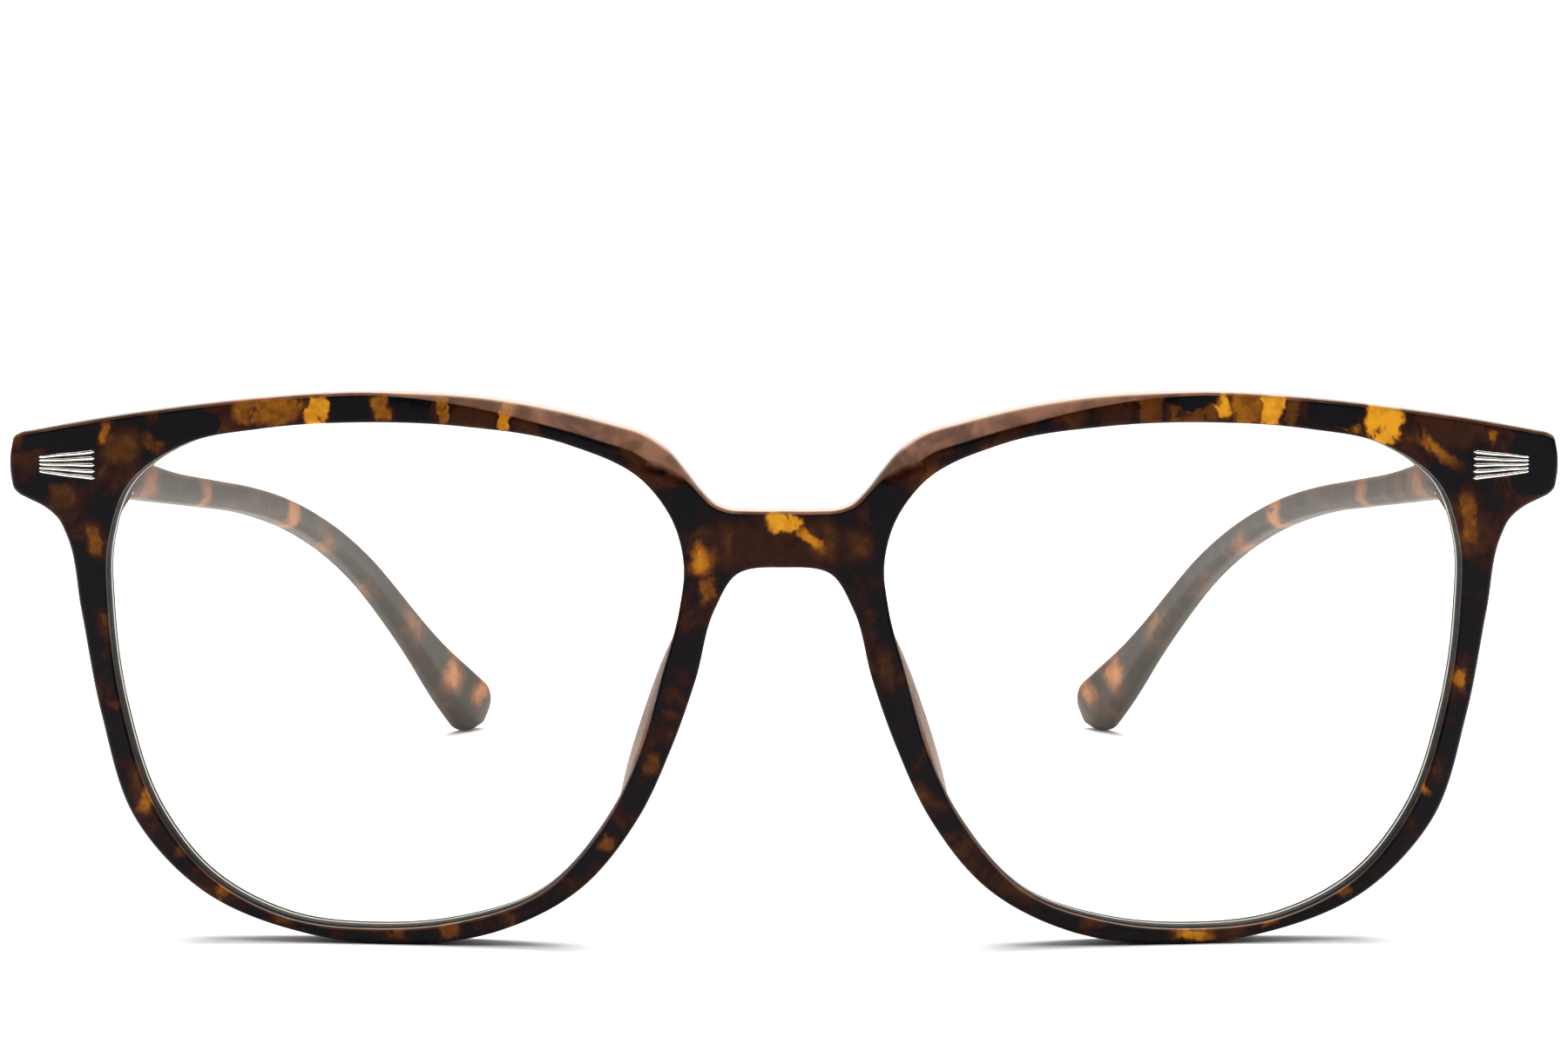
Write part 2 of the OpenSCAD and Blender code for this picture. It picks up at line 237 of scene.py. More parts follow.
def strip(a, b):
    """Quads between two closed rows of points"""
    size = len(a)
    return [(a[i], a[(i + 1) % size], b[(i + 1) % size], b[i]) for i in range(size)]


def loft(rings):
    """A closed solid through rings of equally many points, with flat ends"""
    size = len(rings[0])
    points = np.concatenate([*rings, [np.mean(rings[0], 0)], [np.mean(rings[-1], 0)]])
    rows = [np.arange(size) + size * i for i in range(len(rings))]
    faces = []
    for a, b in zip(rows, rows[1:]):
        faces += strip(a, b)
    for row, tip in ((rows[0], len(points) - 2), (rows[-1], len(points) - 1)):
        faces += [(row[i], row[(i + 1) % size], tip) for i in range(size)]
    return points, faces


def joined(parts):
    """One mesh out of several (points, faces)"""
    points, faces, start = [], [], 0
    for some, their in parts:
        points.append(np.array(some))
        faces += [tuple(int(i) + start for i in face) for face in their]
        start += len(some)
    return np.concatenate(points), faces


def other_side(points):
    return np.array(points) * (-1, 1, 1)


def filling(loops, spacing, clear, taken):
    """Even points inside the first loop and outside the rest, clear of the taken ones"""
    low, high = loops[0].min(0), loops[0].max(0)
    rows = []
    for k, z in enumerate(np.arange(low[1], high[1], spacing * ROW_RATIO)):
        x = np.arange(low[0] + spacing / 2 * (k % 2), high[0], spacing)
        rows.append(np.stack([x, np.full(len(x), z)], 1))
    grid = np.concatenate(rows)
    keep = inside(grid, loops[0])
    for loop in loops[1:]:
        keep &= ~inside(grid, loop)
    grid = grid[keep]
    tree = KDTree(len(taken))
    for i, p in enumerate(taken):
        tree.insert((p[0], p[1], 0), i)
    tree.balance()
    return np.array([p for p in grid if tree.find((p[0], p[1], 0))[2] > clear])


def edge_distance(points, loops, normals):
    """Distance of each point from the nearest of the loops"""
    places, ways = np.concatenate(loops), np.concatenate(normals)
    tree = KDTree(len(places))
    for i, p in enumerate(places):
        tree.insert((p[0], p[1], 0), i)
    tree.balance()
    nearest = [tree.find((p[0], p[1], 0))[1] for p in points]
    return np.abs(((points - places[nearest]) * ways[nearest]).sum(1))


# ---- Shader nodes ----
def new_material(name):
    made = bpy.data.materials.new(name)
    made.use_nodes = True
    made.node_tree.nodes.clear()
    return made, made.node_tree


def add(tree, kind, inputs, **settings):
    """A shader node; an input takes a value or another node's socket"""
    made = tree.nodes.new("ShaderNode" + kind)
    for name, value in settings.items():
        setattr(made, name, value)
    for key, value in inputs.items():
        if isinstance(value, bpy.types.NodeSocket):
            tree.links.new(value, made.inputs[key])
        else:
            made.inputs[key].default_value = value
    return made


def maths(tree, operation, a, b=0.0):
    return add(tree, "Math", {0: a, 1: b}, operation=operation).outputs[0]


def blend(tree, factor, a, b):
    return add(tree, "Mix", {0: factor, 6: a, 7: b}, data_type="RGBA").outputs[2]


def spread(tree, value, from_low, from_high, low, high):
    """A smooth step of a value between two outputs"""
    inputs = {0: value, 1: from_low, 2: from_high, 3: low, 4: high}
    return add(tree, "MapRange", inputs, interpolation_type="SMOOTHSTEP").outputs[0]


def noise(tree, place, scale, detail=3.0, rough=0.55, twist=0.0):
    inputs = {"Vector": place, "Scale": scale, "Detail": detail, "Roughness": rough}
    return add(tree, "TexNoise", {**inputs, "Distortion": twist})


def ramp(tree, value, stops):
    """A colour ramp from (position, colour) stops"""
    made = add(tree, "ValToRGB", {0: value})
    elements = made.color_ramp.elements
    while len(elements) < len(stops):
        elements.new(0.5)
    for element, (position, colour) in zip(elements, stops):
        element.position = position
        element.color = shade(colour)
    return made.outputs[0]


def shade(hex_colour):
    """A linear colour from a six-digit screen colour"""
    parts = [int(hex_colour[i:i + 2], 16) / 255 for i in (0, 2, 4)]
    linear = [c / 12.92 if c <= 0.04045 else ((c + 0.055) / 1.055) ** 2.4 for c in parts]
    return (*linear, 1.0)


def millimetres(tree):
    """Places on the piece, in millimetres from the bridge"""
    coordinate = add(tree, "TexCoord", {}).outputs["Object"]
    inputs = {0: coordinate, 3: 1 / MM}
    scaled = add(tree, "VectorMath", inputs, operation="SCALE").outputs[0]
    moved = {0: scaled, 1: (0, -FRONT_Y, 0)}
    return add(tree, "VectorMath", moved, operation="ADD").outputs[0]


def facing_up(tree, low, high):
    """0 on upright faces and 1 on those that face up, on the piece itself"""
    normal = add(tree, "TexCoord", {}).outputs["Normal"]
    up = add(tree, "SeparateXYZ", {0: normal}).outputs[2]
    return spread(tree, up, low, high, 0.0, 1.0)


def finish_material(tree, surface):
    add(tree, "OutputMaterial", {"Surface": surface})


def bumped(tree, height, strength, distance):
    inputs = {"Height": height, "Strength": strength, "Distance": distance * MM}
    return add(tree, "Bump", inputs).outputs[0]


# ---- Tortoiseshell ----
# Colour ramp of the front, from the dark ground to the clearest amber.
SHELL_STOPS = [
    (0.0, "07080b"), (0.13, "0f0809"), (0.24, "260a04"), (0.4, "361b07"), (0.58, "653809"),
    (0.76, "a4620f"), (1.0, "dd981f"),
]
# Clear patches in the front as (x, z, half width, half height, turn, clearness, hard core).
FRONT_PATCHES = [
    (-63.5, 47.6, 0.7, 1.5, -8, 0.66, 0.5), (-61.9, 46.2, 2.2, 2.3, 0, 0.46, 0.6),
    (-58.8, 46.7, 1.4, 0.8, -25, 0.46, 0.7), (-47.7, 50, 3.6, 1.6, 0, 0.64, 0.9),
    (-43.2, 50, 0.9, 1.7, 4, 0.9, 0.9), (-37.1, 50.4, 1, 1.3, 20, 0.66, 0.7),
    (-31.5, 50.3, 0.6, 1.7, 8, 0.66, 0.8), (-28.5, 49.5, 2.4, 2.2, 0, 0.36, 0.8),
    (-25.4, 49.5, 0.7, 1.8, -6, 0.82, 0.85), (-23.2, 48.8, 1.5, 2.1, 0, 0.38, 0.6),
    (-67.6, 41.6, 1.7, 1.5, 0, 0.44, 0.6), (-64.5, 37.6, 1, 1.7, 0, 0.58, 0.6),
    (-64.1, 30.2, 0.6, 0.9, 0, 0.46, 0.4), (-62.9, 22.3, 0.7, 0.7, 0, 0.42, 0.4),
    (-60.1, 13.3, 1, 2, -22, 0.7, 0.4), (-56.8, 8.5, 0.9, 0.8, 30, 0.5, 0.4),
    (-52.7, 4.6, 1, 1.2, 40, 0.62, 0.4), (-47.1, 2.1, 1.2, 0.9, 0, 0.5, 0.4),
    (-36.4, 1.8, 1.4, 1.4, 0, 0.5, 0.5), (-31.3, 1.9, 1.4, 1.4, 0, 0.58, 0.5),
    (-25.4, 2.6, 1.2, 1.1, 0, 0.5, 0.4), (-16.3, 9.9, 0.8, 1, -30, 0.6, 0.3),
    (-12.2, 17.3, 1, 1.4, -20, 0.5, 0.4), (-10.4, 21.8, 1, 0.8, 0, 0.4, 0.3),
    (-7.7, 36.3, 1.7, 2, -20, 0.78, 0.3), (-6.9, 33.5, 1, 1.8, 10, 0.62, 0.3),
    (-7.8, 38.6, 1.9, 1.5, 8, 0.42, 0.1), (-5.2, 37.6, 1.4, 3.4, 8, 0.44, 0.1),
    (-2.8, 38.3, 1.4, 2.6, 0, 0.3, 0.7), (0, 39.7, 1.7, 1, 0, 0.97, 0.75),
    (3.6, 38.1, 2.1, 2.4, 0, 0.44, 0.6), (6.9, 37.6, 1.9, 2.3, 8, 0.46, 0.1),
    (26.3, 49.9, 1.9, 1.8, -18, 0.42, 0.5), (30.4, 50.2, 2.2, 1.9, 0, 0.32, 0.7),
    (33.8, 50.3, 1.3, 1.9, 0, 0.5, 0.85), (37.8, 49.5, 2.5, 1, 0, 0.52, 0.8),
    (40.4, 50.6, 1, 1.5, 18, 0.95, 0.85), (42.9, 50.4, 1.5, 1.8, 0, 0.66, 0.9),
    (45.2, 50.3, 1, 1.8, -8, 0.97, 0.9), (47, 50.2, 0.7, 1.8, 0, 0.5, 0.8),
    (52.1, 48.5, 1.7, 0.4, -12, 0.85, 0.6), (55.9, 49.2, 1.8, 2.2, -8, 1, 0.95),
    (61.7, 48.5, 3.8, 2.1, -10, 0.34, 0.8), (66.4, 47.2, 0.8, 0.8, 0, 0.66, 0.3),
    (64.1, 39.5, 1, 3.5, 4, 0.6, 0.5), (63.6, 24.5, 0.8, 1.7, 0, 0.74, 0.4),
    (60.2, 14.2, 0.6, 1.1, 20, 0.72, 0.5), (52.4, 5, 1, 1, -30, 0.6, 0.4),
    (45.3, 2.2, 1.4, 1.1, 12, 0.62, 0.4), (38.3, 0.8, 2.6, 0.9, 0, 0.85, 0.3),
    (29, 2.3, 1.5, 1, 8, 0.45, 0.4), (16.6, 9.5, 1.1, 1.6, -30, 0.42, 0.4),
    (9.5, 26, 1, 2.6, 0, 0.42, 0.4), (2.5, 38.2, 2.4, 0.9, -42, 0.84, 0.3),
    (60.7, 46.3, 3.6, 1, -36, 0.68, 0.3), (-0.9, 37.6, 9, 2.6, 0, 0.3, 0.6),
]
# Dark places in the front as (x, z, half width, half height, turn).
FRONT_DARK = [
    (-55.7, 48.5, 3.5, 2.1, 0), (-40.1, 50.1, 1.9, 2, 0), (-34, 50.4, 1.7, 1.8, 0),
    (-68.9, 46.9, 3, 1.1, 0), (-64.3, 33.5, 1.6, 2.5, 0), (-9, 40.8, 1.8, 2.3, -20),
    (9, 41.1, 1.5, 2.5, 20), (37.5, 51.2, 2.7, 1, 0), (50.8, 50.1, 2.9, 1.9, -4),
    (70.4, 45, 2.7, 3.5, 0),
]
# Clear patches in a temple as (y, z, half length, half height, turn, clearness, hard core).
TEMPLE_PATCHES = [
    (26, 41.2, 4.6, 4.0, 0, 0.62, 0.1), (43.5, 38.7, 2.8, 4.0, 8, 0.7, 0.1),
    (75, 34.6, 4.0, 2.6, -20, 0.86, 0.2), (90, 29.4, 6.0, 2.2, -28, 0.6, 0.1),
    (106, 21.6, 4.4, 2.6, -35, 0.56, 0.1), (119, 16.6, 6.0, 2.2, -42, 0.62, 0.1),
    (130, 8.4, 3.4, 3.0, -50, 0.95, 0.1), (136, 5.2, 2.4, 3.0, -50, 0.85, 0.1),
    (60, 37.4, 4.0, 1.6, -8, 0.42, 0.1),
]
# Colour ramp of the temples, browner and duller than the front's.
TEMPLE_STOPS = [
    (0.0, "1b1712"), (0.25, "2c2018"), (0.45, "4d3220"), (0.7, "8a5630"), (1.0, "b87a48"),
]
# How far the two warping noises shift a place, as (scale, detail, roughness, millimetres).
WARPS = ((0.32, 3.0, 0.55, 2.2), (0.9, 4.0, 0.65, 1.3))
GRAIN_STRETCH = (1.3, 0.3, 0.7)
# Painted highlight on edges and bevels that face up: full this near to the bridge and least this far
# away, and less below a height.
HIGHLIGHT_NEAR = 30
HIGHLIGHT_FAR = 58
HIGHLIGHT_FAR_SHARE = 0.35
HIGHLIGHT_RISE = 8
HIGHLIGHT_LOW_SHARE = 0.25
BEVEL_HIGHLIGHT_WARM = "a8745a"


def patch_distance(tree, flat, along, z, wide, high, turn):
    """Distance from the middle of a patch, 1 on its outline, which is a rounded rectangle"""
    inputs = {
        "Vector": flat, "Location": (along, z, 0), "Scale": (wide, high, 1),
        "Rotation": (0, 0, math.radians(turn)),
    }
    local = add(tree, "Mapping", inputs, vector_type="TEXTURE").outputs[0]
    squared = add(tree, "VectorMath", {0: local, 1: local}, operation="MULTIPLY").outputs[0]
    far = add(tree, "VectorMath", {0: squared}, operation="LENGTH").outputs[1]
    return maths(tree, "SQRT", far, 0.0)


def clearness(tree, place, patches, dark, plane):
    """How clear the sheet is at a place: soft patches in a plane over a dark ground"""
    shifted = place
    for *look, reach in WARPS:
        field = noise(tree, place, *look).outputs["Color"]
        centred = add(tree, "VectorMath", {0: field, 1: (0.5,) * 3}, operation="SUBTRACT")
        step = add(tree, "VectorMath", {0: centred.outputs[0], 3: reach}, operation="SCALE")
        both = {0: shifted, 1: step.outputs[0]}
        shifted = add(tree, "VectorMath", both, operation="ADD").outputs[0]
    across = add(tree, "SeparateXYZ", {0: shifted})
    flat = add(tree, "CombineXYZ", {0: across.outputs[plane], 1: across.outputs[2]}).outputs[0]
    ground = noise(tree, place, 0.2, 4.0, 0.6, 0.6).outputs[0]
    total = spread(tree, ground, 0.38, 0.72, 0.03, 0.46)
    for *shape, strength, core in patches:
        far = patch_distance(tree, flat, *shape)
        total = maths(tree, "MAXIMUM", total, spread(tree, far, core * 0.85, 1.3, strength, 0.0))
    for shape in dark:
        far = patch_distance(tree, flat, *shape)
        total = maths(tree, "MINIMUM", total, spread(tree, far, 0.75, 1.15, 0.04, 1.0))
    islands = noise(tree, stretched(tree, place), 0.5, 3.0, 0.55, 0.5).outputs[0]
    total = maths(tree, "MULTIPLY", total, spread(tree, islands, 0.32, 0.42, 0.6, 1.0))
    mottle = noise(tree, place, 1.1).outputs[0]
    return maths(tree, "MULTIPLY", total, spread(tree, mottle, 0.3, 0.7, 0.9, 1.06))


def stretched(tree, place):
    inputs = {0: place, 1: GRAIN_STRETCH}
    return add(tree, "VectorMath", inputs, operation="MULTIPLY").outputs[0]


def shell_material(name, patches, dark, plane, stops, gloss, index, sheen, edges=()):
    """Tortoiseshell acetate: dark ground, amber patches and, if given, a painted highlight on edges
    and bevels that face up
    """
    made, tree = new_material(name)
    place = millimetres(tree)
    clear = clearness(tree, place, patches, dark, plane)
    colour = ramp(tree, clear, stops)
    # edges holds the tints, strength and lowest height of the painted highlight on up-facing bevels
    # and edges
    if edges:
        colour = painted_edge_highlight(tree, place, colour, *edges)
    wear = noise(tree, place, 2.2, 5.0, 0.65).outputs[0]
    ripple = noise(tree, place, 0.5, 2.0).outputs[0]
    inputs = {
        "Base Color": colour, "Roughness": spread(tree, wear, 0.3, 0.75, *gloss), "IOR": index,
        "Specular Tint": sheen, "Normal": bumped(tree, ripple, 0.12, 0.03),
    }
    finish_material(tree, add(tree, "BsdfPrincipled", inputs).outputs[0])
    return made


def painted_edge_highlight(tree, place, colour, bevel_highlight_tint, edge_highlight_tint, amount, low):
    """Painted highlight: bevels and edges that face up are coloured lighter, most of all near the
    bridge
    """
    parts = add(tree, "SeparateXYZ", {0: place}).outputs
    aside = maths(tree, "ABSOLUTE", parts[0])
    reach = spread(tree, aside, HIGHLIGHT_NEAR, HIGHLIGHT_FAR, amount, amount * HIGHLIGHT_FAR_SHARE)
    above = spread(tree, parts[2], low, low + HIGHLIGHT_RISE, HIGHLIGHT_LOW_SHARE, 1.0)
    reach = maths(tree, "MULTIPLY", reach, above)
    cloud = noise(tree, place, 0.22, 3.0, 0.55, 0.4)
    bevel = maths(tree, "MULTIPLY", facing_up(tree, 0.08, 0.3), reach)
    bevel = maths(tree, "MULTIPLY", bevel, spread(tree, cloud.outputs[0], 0.38, 0.62, 0.5, 1.0))
    highlight_tone = blend(tree, cloud.outputs[0], shade(bevel_highlight_tint), shade(BEVEL_HIGHLIGHT_WARM))
    edge_highlight = maths(tree, "MULTIPLY", facing_up(tree, 0.55, 0.95), reach)
    colour = blend(tree, bevel, colour, highlight_tone)
    return blend(tree, edge_highlight, colour, shade(edge_highlight_tint))


# ---- Other materials ----
def pad_material():
    """Lighter satin acetate of the nose pads"""
    made, tree = new_material("pad_acetate")
    place = millimetres(tree)
    cloud = noise(tree, place, 0.25, 3.0, 0.55, 0.4).outputs[0]
    colour = ramp(tree, cloud, [(0.3, "452a1a"), (0.5, "5e3a25"), (0.7, "764c34")])
    grain = noise(tree, place, 2.5, 4.0).outputs[0]
    inputs = {
        "Base Color": colour, "Roughness": spread(tree, grain, 0.3, 0.7, 0.28, 0.4),
        "IOR": 1.2, "Normal": bumped(tree, grain, 0.12, 0.03),
        "Subsurface Weight": 0.2, "Subsurface Radius": (0.002, 0.001, 0.0006),
    }
    finish_material(tree, add(tree, "BsdfPrincipled", inputs).outputs[0])
    return made


def metal_material(name, light, dark, rough, grain):
    """Plated metal with fine wear and a tone that varies at random"""
    made, tree = new_material(name)
    place = millimetres(tree)
    cloud = noise(tree, place, 0.9, 4.0).outputs[0]
    scratch = noise(tree, place, grain, 6.0, 0.7).outputs[0]
    colour = blend(tree, spread(tree, cloud, 0.35, 0.75, 0.0, 1.0), shade(light), shade(dark))
    inputs = {
        "Base Color": colour, "Metallic": 1.0,
        "Roughness": spread(tree, scratch, 0.3, 0.7, rough * 0.75, rough * 1.3),
        "Normal": bumped(tree, scratch, 0.15, 0.02),
    }
    shader = add(tree, "BsdfPrincipled", inputs)
    finish_material(tree, shader.outputs[0])
    return made


def lens_material():
    """Clear coated lens: what is behind it shows through, with a weak reflection over it"""
    made, tree = new_material("demo_lens")
    place = millimetres(tree)
    film = noise(tree, place, 0.08, 2.0).outputs[0]
    tint = blend(tree, film, shade("fcfbf9"), shade("f8f7f4"))
    through = add(tree, "BsdfTransparent", {"Color": tint})
    shine = add(tree, "BsdfGlossy", {"Color": shade("f6f3ec"), "Roughness": 0.02})
    facing = add(tree, "LayerWeight", {"Blend": 0.5}).outputs["Facing"]
    amount = spread(tree, maths(tree, "POWER", facing, 5.0), 0.0, 1.0, 0.012, 0.7)
    mixed = add(tree, "MixShader", {0: amount, 1: through.outputs[0], 2: shine.outputs[0]})
    finish_material(tree, mixed.outputs[0])
    return made


def lens_edge_material(name, low, high):
    """Ground edge of a lens, slightly uneven; given dark colours it is a painted reflection of the
    rim
    """
    made, tree = new_material(name)
    place = millimetres(tree)
    grind = noise(tree, place, 3.0, 4.0).outputs[0]
    colour = blend(tree, grind, shade(low), shade(high))
    inputs = {"Base Color": colour, "Roughness": 0.45, "IOR": 1.5}
    inputs["Normal"] = bumped(tree, grind, 0.2, 0.03)
    finish_material(tree, add(tree, "BsdfPrincipled", inputs).outputs[0])
    return made


def floor_material():
    made, tree = new_material("studio_floor")
    place = millimetres(tree)
    grain = noise(tree, place, 0.05, 2.0).outputs[0]
    colour = blend(tree, grain, (0.93, 0.93, 0.93, 1), (0.95, 0.95, 0.95, 1))
    inputs = {"Base Color": colour, "Roughness": 0.9, "Specular IOR Level": 0.1}
    finish_material(tree, add(tree, "BsdfPrincipled", inputs).outputs[0])
    return made


# ---- Front ----
EDGE_RADIUS = 0.42
RIM_RADIUS = 0.3
# Rows of points along a rounded edge and along the brow's bevel, as shares of their width.
EDGE_STEPS = (0.06, 0.257, 0.577, 1.0, 1.35)
FACET_TILT = math.radians(30)
FACET_PLACES = (8, 12.3, 17, 23, 30, 38)
FACET_WIDTHS = (0, 1.9, 1.75, 1.5, 0.9, 0.2)
FACET_ROWS = (0.45, 0.72, 0.9, 1.0, 1.1, 1.3)
# The bevel lies above FACET_LOW and runs out between FACET_FADE and FACET_END.
FACET_LOW = 40
FACET_FADE = 35
FACET_END = 40
FACET_SOFTNESS = 0.01
# Its rows of points are kept where it is wide enough and clear of the edge.
ROWS_END = 37
ROWS_LOW = 40.9
ROWS_LEAST_WIDTH = 0.3
ROWS_LEAST_INSET = 0.55
OUTLINE_SPACING = 0.5
FRONT_GRID = 0.8
FRONT_GRID_CLEAR = 0.42
GROOVE_HALF = 0.55
GROOVE_DEPTH = 0.5
# The end piece's block at the back rises between these distances aside and these heights, and
# ends below the brow inside BLOCK_TOP_END.
BLOCK_SIDE = (57.8, 61.6)
BLOCK_FOOT = (39.9, 41.3)
BLOCK_TOP = (47.6, 49.6)
BLOCK_TOP_END = 61


def facet_width(x):
    """Width of the bevel along the brow on either side of the bridge"""
    return np.interp(np.abs(x), FACET_PLACES, FACET_WIDTHS, right=0)


def front_outlines():
    """Outline of the front and of its left and right openings, all clockwise"""
    whole = FRONT_HALF + [(-x, z) for x, z in FRONT_HALF[-2:0:-1]]
    outer = smooth_curve(whole, True, OUTLINE_SPACING)
    left = smooth_curve(RIM_OPENING, True, OUTLINE_SPACING)
    right = mirrored(left)[::-1]
    return outer, left, right


def make_front(polished, wall):
    """The front: a curved plate with two grooved openings, a beveled brow and end blocks"""
    outer, left, right = loops = front_outlines()
    normals = [outward(loop) for loop in loops]
    rings = [outer - normals[0] * EDGE_RADIUS * k for k in EDGE_STEPS]
    for loop, ways in ((left, normals[1]), (right, normals[2])):
        rings += [loop + ways * RIM_RADIUS * k for k in EDGE_STEPS]
    brow = (np.abs(outer[:, 0]) < ROWS_END) & (outer[:, 1] > ROWS_LOW)
    brow &= facet_width(outer[:, 0]) > ROWS_LEAST_WIDTH
    for k in FACET_ROWS:
        inset = facet_width(outer[brow, 0]) * k
        row = outer[brow] - normals[0][brow] * inset[:, None]
        rings.append(row[inset > ROWS_LEAST_INSET])
    taken = np.concatenate([*loops, *rings])
    others = np.concatenate([*rings, filling(loops, FRONT_GRID, FRONT_GRID_CLEAR, taken)])

    def from_outer(flat):
        return edge_distance(flat, [outer], normals[:1])

    def from_rims(flat):
        return edge_distance(flat, [left, right], normals[1:])

    def front(flat):
        x, depth = flat[:, 0], from_outer(flat)
        over = facet_width(x) - depth
        bevel = (over + np.sqrt(over**2 + FACET_SOFTNESS)) / 2 * math.tan(FACET_TILT)
        bevel *= (flat[:, 1] > FACET_LOW) & (np.abs(x) > FACET_PLACES[0])
        bevel *= smoothstep(FACET_END, FACET_FADE, np.abs(x))
        return sag(x) + fillet(depth, EDGE_RADIUS) + fillet(from_rims(flat), RIM_RADIUS) + bevel

    def back(flat):
        x, z = flat[:, 0], flat[:, 1]
        rim = sag(x) + FRONT_THICKNESS
        block = smoothstep(*BLOCK_SIDE, np.abs(x)) * smoothstep(*BLOCK_FOOT, z)
        block *= 1 - smoothstep(*BLOCK_TOP, z) * (np.abs(x) < BLOCK_TOP_END)
        flush = rim + (np.maximum(ENDPIECE_BACK, rim) - rim) * block
        return flush - fillet(from_outer(flat), EDGE_RADIUS) - fillet(from_rims(flat), RIM_RADIUS)

    groove = [(GROOVE_MIDDLE - GROOVE_HALF, 0), (GROOVE_MIDDLE, GROOVE_DEPTH),
              (GROOVE_MIDDLE + GROOVE_HALF, 0)]
    points, faces = plate(loops, others, front, back, [[], groove, groove])
    wall_faces = (len(groove) + 1) * (len(left) + len(right))
    choice = [0] * (len(faces) - wall_faces) + [1] * wall_faces
    materials = [polished, wall]
    made = add_piece("front_shell", points, faces, "front", materials, choice)
    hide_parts("front_frame")


# ---- Lenses ----
LENS_CENTRE = np.array([37.0, 25.0])
LENS_DOME = 0.5
LENS_REACH = 28.0
LENS_SPACING = 0.8
LENS_GAP = 0.02
LENS_GRID = 1.6
LENS_GRID_CLEAR = 0.9
LENS_BEVEL = 0.42
LENS_BACK_WALL = 0.5


def make_lens(side, flip, clear, ground, painted_rim_reflection):
    """A domed lens with a bevel in the rim's groove and a ground wall behind it"""
    opening = smooth_curve(RIM_OPENING, True, LENS_SPACING)
    rim = opening - outward(opening) * LENS_GAP
    others = filling([rim], LENS_GRID, LENS_GRID_CLEAR, rim)

    def dome(flat):
        far = np.linalg.norm(flat - LENS_CENTRE, axis=1) / LENS_REACH
        return sag(flat[:, 0]) - LENS_DOME * np.clip(1 - far**2, 0, 1)

    def front(flat):
        return dome(flat) + LENS_SETBACK

    def back(flat):
        return dome(flat) + LENS_BACK

    wall = [(GROOVE_MIDDLE, LENS_BEVEL), (LENS_BACK - LENS_BACK_WALL, 0.0)]
    points, faces = plate([rim], others, front, back, [wall])
    count = len(faces) - 3 * len(rim)
    # The front strips of the edge take the dark copy, a painted reflection of the dark rim; the back
    # strip takes the ground edge
    choice = [0] * count + [2] * (2 * len(rim)) + [1] * len(rim)
    points = other_side(points) if flip else points
    name = f"demo_lens_{side}"
    materials = [clear, ground, painted_rim_reflection]
    made = add_piece(name, points, faces, "front", materials, choice, crease=20)
    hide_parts(f"lens_{side}")


# ---- Nose pads ----
PAD_HALF = 10.7
PAD_REACH = 6.3
PAD_ROOT = 1.5
PAD_WIDE = 1.2
PAD_PLACE = (11.6, FRONT_THICKNESS - 0.6, 20.7)
PAD_SPLAY = math.radians(-13)
PAD_LEAN = math.radians(-18.9)
PAD_RINGS = 41
PAD_SIDES = 36
PAD_END = math.radians(88)
PAD_POWERS = (2.6, 0.45)


def make_pad(side, flip, material):
    """A blade like half an egg, standing behind the nasal rim"""
    rings = []
    angles = np.linspace(0, 2 * math.pi, PAD_SIDES, endpoint=False)
    for turn in np.linspace(-PAD_END, PAD_END, PAD_RINGS):
        up = math.sin(turn)
        size = (1 - abs(up) ** PAD_POWERS[0]) ** PAD_POWERS[1]
        reach = np.where(np.sin(angles) > 0, PAD_REACH, PAD_ROOT) * size
        rings.append(np.stack([PAD_WIDE * size * np.cos(angles), reach * np.sin(angles),
                               np.full(PAD_SIDES, PAD_HALF * up)], 1))
    points, faces = loft(rings)
    splay, lean = Matrix.Rotation(PAD_SPLAY, 3, "Z"), Matrix.Rotation(PAD_LEAN, 3, "Y")
    points = points @ np.array(splay @ lean).T + PAD_PLACE
    points = other_side(points) if flip else points
    name = f"pad_blade_{side}"
    made = add_piece(name, points, faces, "front", [material], crease=60)
    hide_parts(f"nose_pad_{side}")


# ---- Temples ----
TEMPLE_CUT = 10.5
TEMPLE_START = -1.4
TEMPLE_INNER = INNER_FACE + 0.06
TEMPLE_SPACING = 1.0
TIP_TURNS = (8, 88, 11)
TIP_POWER = 0.55
CUT_GAP = 0.02
CUT_CLEAR = 0.5
# Rounded edge of the cut end as (inset, distance behind the cut).
CUT_EDGE = ((0.3, 0.0), (0.09, 0.09), (0.0, 0.3))


def temple_place(x, s, z):
    """From a temple's own space, hinge axis at its origin, to the front's"""
    return np.stack([HINGE.x + x * math.cos(SPLAY) - s * math.sin(SPLAY),
                     HINGE.y + x * math.sin(SPLAY) + s * math.cos(SPLAY), z], -1)


def rounded_outline(corners, steps=5):
    """Outline through (x, z, radius) corners, each rounded by an arc"""
    made, count = [], len(corners)
    for i, (x, z, radius) in enumerate(corners):
        here = np.array([x, z])
        ways = [np.array(corners[j][:2]) - here for j in (i - 1, (i + 1) % count)]
        a, b = [way / np.linalg.norm(way) for way in ways]
        half = math.acos(np.clip(a @ b, -1, 1)) / 2
        middle = here + (a + b) / np.linalg.norm(a + b) * radius / math.sin(half)
        first = here + a * radius / math.tan(half) - middle
        last = here + b * radius / math.tan(half) - middle
        sweep = math.pi - 2 * half
        for k in np.arange(steps + 1) / steps:
            mixed = math.sin((1 - k) * sweep) * first + math.sin(k * sweep) * last
            made.append(middle + mixed / math.sin(sweep))
    return np.array(made)


